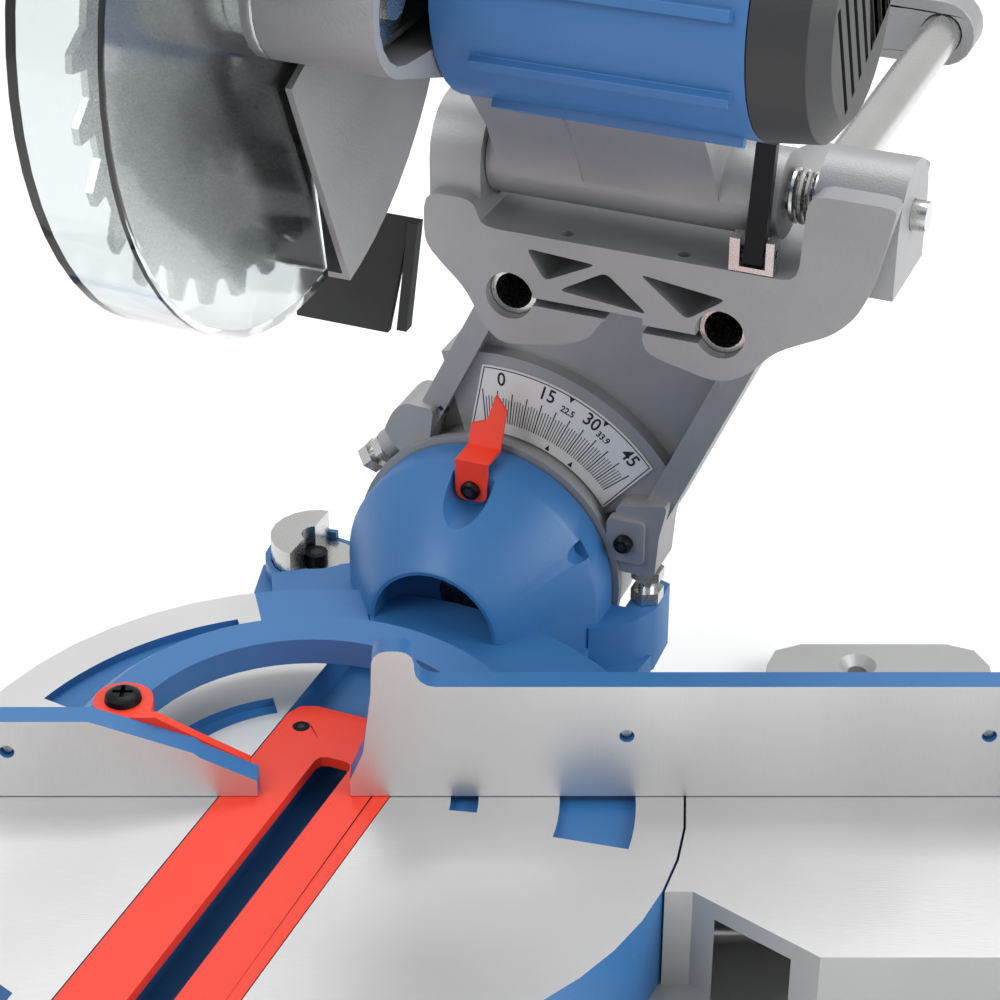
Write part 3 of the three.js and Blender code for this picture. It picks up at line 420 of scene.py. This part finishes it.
# %% Smoothing by angle, as a small geometry node group
def smooth_group(name, weld_mm, angle_deg):
    group = bpy.data.node_groups.new(name, "GeometryNodeTree")
    group.interface.new_socket("Geometry", in_out="INPUT", socket_type="NodeSocketGeometry")
    group.interface.new_socket("Geometry", in_out="OUTPUT", socket_type="NodeSocketGeometry")
    entry = put(group, "NodeGroupInput")
    welded = put(group, "GeometryNodeMergeByDistance", {"Distance": mm(weld_mm)},
                 {"Geometry": entry.outputs[0]})
    smooth = put(group, "GeometryNodeSetShadeSmooth", {"domain": "FACE"}, {"Geometry": welded.outputs[0]})
    angle = put(group, "GeometryNodeInputMeshEdgeAngle")
    gentle = put(group, "FunctionNodeCompare", {"operation": "LESS_THAN", 1: math.radians(angle_deg)},
                 {0: angle.outputs[0]})
    edges = put(group, "GeometryNodeSetShadeSmooth", {"domain": "EDGE"},
                {"Geometry": smooth.outputs[0], "Shade Smooth": gentle.outputs[0]})
    put(group, "NodeGroupOutput", links={"Geometry": edges.outputs[0]})
    return group


SMOOTH = smooth_group("smooth_by_angle", 0.02, 32)
print("smoothing group ready")


# %% [markdown]
# ## Rounded edges
# A real casting has no sharp corner: sand and paint round every edge by a millimetre or so,
# and that soft line of light is what tells the eye it is cast metal. A bevel modifier gives
# each casting and moulding its own edge, from 1.4 mm on the handle to 0.3 mm on turned steel.

# %% Rounding castings and mouldings
CORNER_DEG = 34
ROUND_MM = {
    "turntable_casting": 0.9, "tilt_arm": 0.8, "head_bracket": 0.9, "head_casting": 0.9, "fence": 0.7,
    "base_casting": 0.9, "upper_guard": 0.6, "motor_housing": 0.6, "motor_end_cap": 0.8,
    "handle": 1.4, "kerf_insert": 0.4, "fence_edge_guide": 0.5, "rail_end_tie": 0.8,
    "table_extension_left": 1.0, "table_extension_right": 1.0, "bevel_lock_lever": 0.8,
    "turret_stop": 0.3, "depth_stop_bar": 0.4, "depth_stop_fork": 0.3, "trigger": 0.6,
    "dust_chute": 0.5, "lower_guard": 0.5,
}


def soften(piece, width_mm):
    smooth = piece.modifiers.new("smooth", "NODES")
    smooth.node_group = SMOOTH
    if width_mm:
        bevel = piece.modifiers.new("round", "BEVEL")
        bevel.width = mm(width_mm)
        bevel.segments = 2
        bevel.limit_method = "ANGLE"
        bevel.angle_limit = math.radians(CORNER_DEG)
        bevel.harden_normals = True
        bevel.use_clamp_overlap = True


for node_name, node in NODES.items():
    soften(node, ROUND_MM.get(node_name, 0.0))
print("rounded", len(ROUND_MM), "castings and mouldings")


# %% [markdown]
# ## The bevel scale
# Printing has almost no thickness, and an image would blur from close by. So each mark is a
# real sliver of ink 0.06 mm thick on the plate. on_plate() finds a point by its angle
# clockwise from upright and its radius, since every mark is laid out round the bevel axis.

# %% Ink on the scale plate
PLATE_FACE_V = 0.1994
INK_MM = 0.06
INK_FOOT = 0.00001             # keeps the back of the ink just off the plate


def on_plate(phi_deg, radius_mm, side_mm=0.0):
    phi = math.radians(phi_deg)
    u = radius_mm * math.sin(phi) + side_mm * math.cos(phi)
    z = radius_mm * math.cos(phi) - side_mm * math.sin(phi)
    return Vector((mm(u), 0, mm(z)))


def ink_prism(mesh, outline):
    front = [mesh.verts.new(TURN @ (p + Vector((0, PLATE_FACE_V - mm(INK_MM), 0)))) for p in outline]
    back = [mesh.verts.new(TURN @ (p + Vector((0, PLATE_FACE_V - INK_FOOT, 0)))) for p in outline]
    mesh.faces.new(front)
    mesh.faces.new(back[::-1])
    for i in range(len(outline)):
        j = (i + 1) % len(outline)
        mesh.faces.new((front[j], front[i], back[i], back[j]))


def finish_mesh(mesh, name, material, body):
    bmesh.ops.recalc_face_normals(mesh, faces=mesh.faces)
    data = bpy.data.meshes.new(name)
    mesh.to_mesh(data)
    mesh.free()
    piece = bpy.data.objects.new(name, data)
    bpy.context.scene.collection.objects.link(piece)
    dress(piece, material)
    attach(piece, body)
    return piece


print("a mark is", INK_MM, "mm thick")


# %% [markdown]
# ## Scale lines
# A line stands at every degree from -5 to 50. Every fifth is longer, and between them the
# middle lines reach a little further than the rest. Small triangles at both edges mark two
# angles that moulding often needs, and a thin border closes the plate. The ends of the border
# lean, as they do on a plate cut from a ring.

# %% Scale lines, triangles and border
FIRST_DEG, LAST_DEG = -5, 50
TICK_FOOT_MM = 66
LONG_TICK_MM = 81.4
SHORT_TICK_MM = 78.8
SHORT_TICK_DROP_MM = 1.6
BORDER_MM = 92.6
BORDER_WIDTH_MM = 0.5
BORDER_FOOT_MM = 61.4
BORDER_STEPS = 24
MOULDING_DEG = (22.5, 33.9)

marks = bmesh.new()
for degree in range(FIRST_DEG, LAST_DEG + 1):
    is_long = degree % 5 == 0
    middle = abs((degree % 5) - 2.5) / 2.5
    top = LONG_TICK_MM if is_long else SHORT_TICK_MM - SHORT_TICK_DROP_MM * middle
    half = 0.26 if is_long else 0.19
    ink_prism(marks, [on_plate(degree, TICK_FOOT_MM, -half), on_plate(degree, top, -half),
                      on_plate(degree, top, half), on_plate(degree, TICK_FOOT_MM, half)])
for degree in MOULDING_DEG:
    ink_prism(marks, [on_plate(degree, 92.4, -1.3), on_plate(degree, 89.4), on_plate(degree, 92.4, 1.3)])
    ink_prism(marks, [on_plate(degree, 61.2, 1.1), on_plate(degree, 64.2), on_plate(degree, 61.2, -1.1)])
border = [on_plate(-4.0 + 55.0 * i / BORDER_STEPS, BORDER_MM) for i in range(BORDER_STEPS + 1)]
border_in = [on_plate(-3.9 + 54.8 * i / BORDER_STEPS, BORDER_MM - BORDER_WIDTH_MM)
             for i in range(BORDER_STEPS + 1)]
for i in range(BORDER_STEPS):
    ink_prism(marks, [border[i], border[i + 1], border_in[i + 1], border_in[i]])
for top_deg, foot_deg, step in ((-4.0, -11.6, BORDER_WIDTH_MM), (51.0, 56.0, -BORDER_WIDTH_MM)):
    ink_prism(marks, [on_plate(top_deg, BORDER_MM), on_plate(foot_deg, BORDER_FOOT_MM),
                      on_plate(foot_deg, BORDER_FOOT_MM, step), on_plate(top_deg, BORDER_MM, step)])
finish_mesh(marks, "bevel_scale_lines", ink_and_recess_shade, "tilt")
print("scale lines:", LAST_DEG - FIRST_DEG + 1)


# %% [markdown]
# ## Scale numbers
# The numbers lean with the angle they mark, with their feet towards the axis. They are set in
# Blender's own plain letters, given the ink's thickness, and joined into one mesh, so that
# they lean with the arm as one piece. Squeezing them to 86 % gives the narrow look of a dial.

# %% Scale numbers
CAP_HEIGHT = 0.7               # of the letter size
NARROW = 0.86
THICKER_STROKE = 0.00012


def number_on_scale(text, phi_deg, radius_mm, height_mm):
    curve = bpy.data.curves.new("number", "FONT")
    curve.body = text
    curve.align_x, curve.align_y = "CENTER", "CENTER"
    curve.size = mm(height_mm) / CAP_HEIGHT
    curve.extrude = mm(INK_MM) / 2
    curve.offset = THICKER_STROKE
    curve.resolution_u = 3
    flat = bpy.data.objects.new("number", curve)
    bpy.context.scene.collection.objects.link(flat)
    stand = Matrix.Rotation(math.radians(90), 4, "X")
    lean = Matrix.Rotation(math.radians(phi_deg), 4, "Y")
    spot = on_plate(phi_deg, radius_mm) + Vector((0, PLATE_FACE_V - mm(INK_MM) / 2, 0))
    squeeze = Matrix.Scale(NARROW, 4, (1, 0, 0))
    flat.matrix_world = TURN @ Matrix.Translation(spot) @ lean @ stand @ squeeze
    return flat


numbers = [number_on_scale(text, phi_deg, 87.3, 6.6)
           for text, phi_deg in (("0", 1.2), ("15", 15.6), ("30", 30.6), ("45", 45.6))]
numbers += [number_on_scale(text, phi_deg, 84.6, 3.2) for text, phi_deg in (("22.5", 23.0), ("33.9", 36.0))]
bpy.ops.object.select_all(action="DESELECT")
for flat in numbers:
    flat.select_set(True)
bpy.context.view_layer.objects.active = numbers[0]
bpy.ops.object.convert(target="MESH")
bpy.ops.object.join()
scale_numbers = bpy.context.object
scale_numbers.name = "bevel_scale_numbers"
dress(scale_numbers, ink_and_recess_shade)
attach(scale_numbers, "tilt")
print("scale numbers:", len(numbers))


# %% [markdown]
# ## Shapes for small hardware
# A screw is a turned shape, so disc_stack() spins pairs of height and radius round an axis.
# Its driver recess is a six-lobed star. Cutting a hollow in a head this small would hardly
# show, so the star is a dark inlay a few hundredths of a millimetre proud of the head. Its dark is painted
# shade, standing in for the shade inside the hollow.

# %% Small turned and lobed shapes
LOBES = 6
LOBE_DEPTH = 0.14


def disc_stack(mesh, matrix, profile_mm, sides=20):
    rings = []
    for height, radius in profile_mm:
        rings.append([mesh.verts.new(matrix @ Vector((
            mm(radius * math.cos(2 * math.pi * i / sides)),
            mm(radius * math.sin(2 * math.pi * i / sides)), mm(height)))) for i in range(sides)])
    for lower, upper in zip(rings, rings[1:]):
        for i in range(sides):
            j = (i + 1) % sides
            mesh.faces.new((lower[i], lower[j], upper[j], upper[i]))
    mesh.faces.new(rings[0][::-1])
    mesh.faces.new(rings[-1])


def lobed_star(mesh, matrix, radius_mm, from_mm, to_mm, steps=36):
    outline = []
    for i in range(steps):
        turn = 2 * math.pi * i / steps
        reach = mm(radius_mm * (1 - LOBE_DEPTH + LOBE_DEPTH * math.cos(LOBES * turn)))
        outline.append((reach * math.cos(turn), reach * math.sin(turn)))
    low = [mesh.verts.new(matrix @ Vector((x, y, mm(from_mm)))) for x, y in outline]
    high = [mesh.verts.new(matrix @ Vector((x, y, mm(to_mm)))) for x, y in outline]
    for i in range(steps):
        j = (i + 1) % steps
        mesh.faces.new((low[i], low[j], high[j], high[i]))
    mesh.faces.new(low[::-1])
    mesh.faces.new(high)


FACING_FRONT = Matrix.Rotation(math.radians(90), 4, "X")


def at(directions, u, v, z, facing=None):
    place = directions @ Matrix.Translation(Vector((u, v, z)) / 1000)
    return place @ facing if facing else place


print("small shapes ready")


# %% [markdown]
# ## Recesses in the black screws
# Three screws show their heads: the one that holds the bevel pointer, the one beside the
# right bevel stop, and the one in the turret stop. Each recess is a dark star of painted shade
# that rides the body its screw is on, so it stays in the head when the saw leans or the turret turns.

# %% Recesses
RECESS_RISE_MM = 0.04
RECESSES = (
    ("pointer_screw_recess", "turntable", at(TURN, 2.1, 161.2, 50.9, FACING_FRONT), 2.1),
    ("stop_screw_recess", "tilt", at(TURN, 65.5, 182.0, 26.0, FACING_FRONT), 2.0),
    ("turret_screw_recess", "turret", at(TURN, -88.0, 190.0, -18.0), 3.0),
)
# Each star is painted shade: a dark inlay standing in for the shade inside the hollow recess.
for name, body, place, radius_mm in RECESSES:
    star = bmesh.new()
    lobed_star(star, place, radius_mm, 0.0, RECESS_RISE_MM)
    finish_mesh(star, name, ink_and_recess_shade, body)
print("recesses in", len(RECESSES), "screws")


# %% [markdown]
# ## Screws in the fence and the red insert
# The fence's face has four small holes, each with a zinc-plated screw sunk below the face so
# that the work slides past. The red insert sits on four countersunk black screws, just under
# its top for the same reason.

# %% Fence and insert screws
SUNK_HEAD = ((0, 2.8), (5.5, 2.8), (6.2, 2.2), (6.2, 1.2), (5.2, 1.2))
COUNTERSUNK = ((-4.6, 1.6), (-2.3, 1.6), (-0.35, 3.5), (-0.2, 3.5))
FENCE_HOLES = ((126.8, 29.6), (268.0, 29.6), (-115.4, 22.0), (-256.0, 22.0))

fence_screws = bmesh.new()
for x_mm, z_mm in FENCE_HOLES:
    disc_stack(fence_screws, at(TABLE_FRAME, x_mm, 9.0, z_mm, FACING_FRONT), SUNK_HEAD)
finish_mesh(fence_screws, "fence_screws", zinc_steel, "base")

insert_screws = bmesh.new()
# The dark stars on the insert screws are painted shade, standing in for the shade inside their recesses.
insert_stars = bmesh.new()
for u_mm in (-22.0, 22.0):
    for v_mm in (-282.0, 42.0):
        place = at(TURN, u_mm, v_mm, 0.0)
        disc_stack(insert_screws, place, COUNTERSUNK)
        lobed_star(insert_stars, place, 1.7, -0.2, -0.2 + RECESS_RISE_MM)
finish_mesh(insert_screws, "insert_screws", oxide_steel, "turntable")
finish_mesh(insert_stars, "insert_screw_recesses", ink_and_recess_shade, "turntable")
print("fence screws:", len(FENCE_HOLES), "insert screws: 4")


# %% [markdown]
# ## Floor and surroundings
# A catalogue background is a sheet of white paper under even light. The floor is matt and a
# little uneven in shade, and the white surroundings light the metal from every side, since
# metal with nothing around it would look black.

# %% Floor
bpy.ops.mesh.primitive_plane_add(size=14)
floor = bpy.context.object
floor.name = "studio_floor"
floor_material, floor_tree = start("studio_white")
floor_noise = grain(floor_tree, 400, 2)
floor_colour = blend_colours(floor_tree, floor_noise.outputs[0], "#F3F3F3", "#F7F7F7")
floor_shader = put(floor_tree, "ShaderNodeBsdfPrincipled", {"Roughness": 0.9},
                   {"Base Color": floor_colour.outputs[0]})
end(floor_tree, floor_shader)
dress(floor, floor_material)
world = bpy.data.worlds.new("studio")
world.use_nodes = True
world.node_tree.nodes["Background"].inputs["Color"].default_value = (1, 1, 1, 1)
world.node_tree.nodes["Background"].inputs["Strength"].default_value = 0.7
bpy.context.scene.world = world
print("white floor and surroundings")
